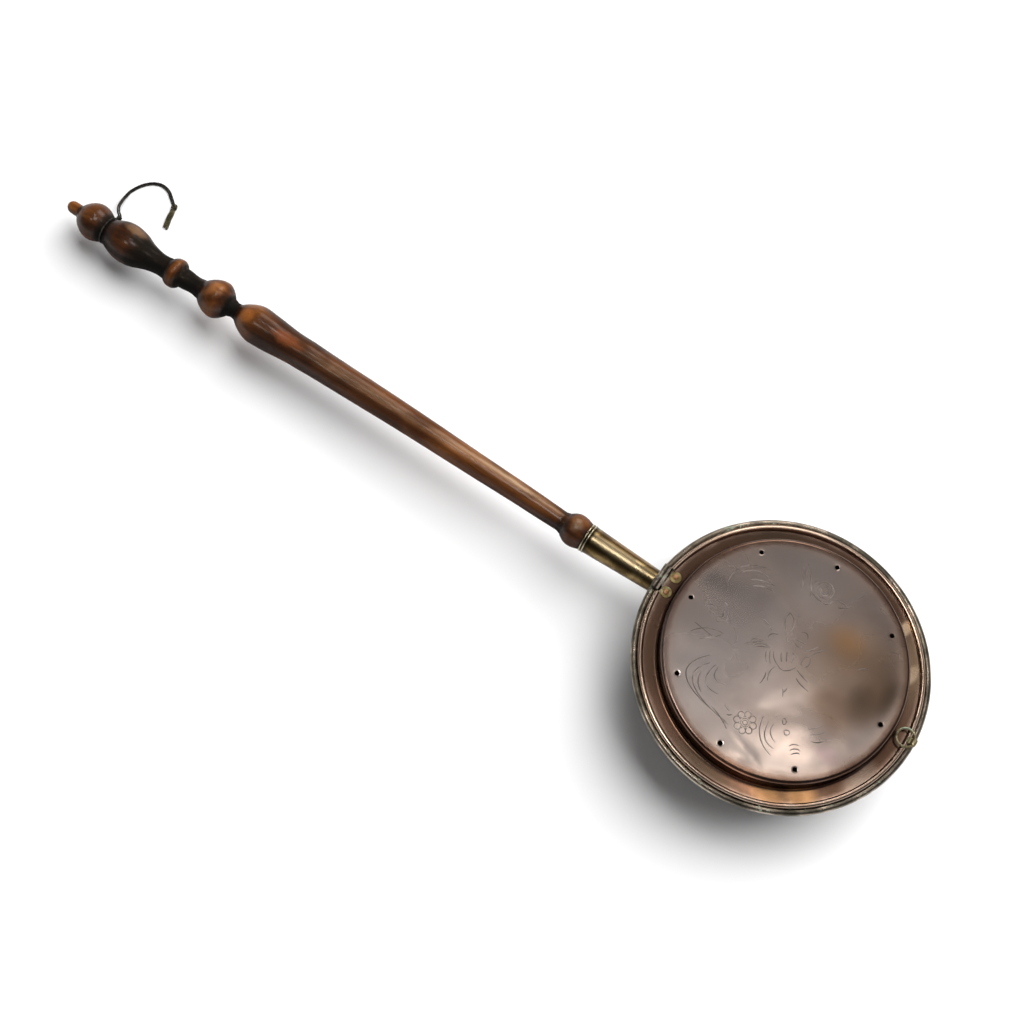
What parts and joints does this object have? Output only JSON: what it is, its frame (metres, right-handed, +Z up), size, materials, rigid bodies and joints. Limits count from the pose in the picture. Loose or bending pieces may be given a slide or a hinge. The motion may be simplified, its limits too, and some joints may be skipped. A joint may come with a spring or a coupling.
{
  "type": "bed warming pan",
  "caption": "Traditional metal bed warming pan with a hinged, pierced lid, a lifting ring, a tapered ferrule, a long turned wooden handle and a hanging lace.",
  "frame": {"origin": "centre of the pan's flat bottom, on the surface it stands on", "axes": "+Z up through the lid, +X from the pan along the handle to its end"},
  "size_m": [1.0763, 0.31, 0.1042],
  "materials": {
    "pan_copper": "aged and browned copper, semi-gloss",
    "lid_copper": "aged copper with a warm brown patina, semi-gloss",
    "hinge_metal": "dull greyed brass",
    "socket_brass": "worn brass, glossy",
    "ring_brass": "dark worn brass",
    "wire_iron": "dark iron",
    "handle_wood": "dark reddish brown, polished",
    "lace": "dark, dull"
  },
  "bodies": {
    "pan": {"pan_bowl": "pan_copper", "pan_rim_wire": "wire_iron", "hinge_pan_leaf": "hinge_metal", "hinge_pin": "wire_iron", "socket_plate": "socket_brass", "plate_rivets": "socket_brass", "socket_tube": "socket_brass", "socket_pin": "wire_iron", "handle": "handle_wood", "lace_neck_loop": "lace", "lace_hitch": "lace", "lace_strand_a": "lace", "lace_strand_b": "lace", "lace_end_knot": "lace", "lace_tail_a": "lace", "lace_tail_b": "lace"},
    "lid": {"lid_shell": "lid_copper", "lid_rim_wire": "wire_iron", "hinge_lid_leaf": "hinge_metal", "lid_hinge_roves": "hinge_metal", "lid_hinge_rivets": "lid_copper", "ring_lug": "ring_brass"},
    "lifting_ring": {"lifting_ring": "ring_brass"}
  },
  "joints": [
    {"name": "lid_hinge", "type": "hinge", "parent": "pan", "child": "lid", "pos_m": [0.1515, -0.005, 0.08485], "axis": [0, 1, 0], "range_deg": [0, 150]},
    {"name": "ring_pivot", "type": "hinge", "parent": "lid", "child": "lifting_ring", "pos_m": [-0.15202, -0.005, 0.08535], "axis": [0, -1, 0], "range_deg": [0, 225]}
  ]
}
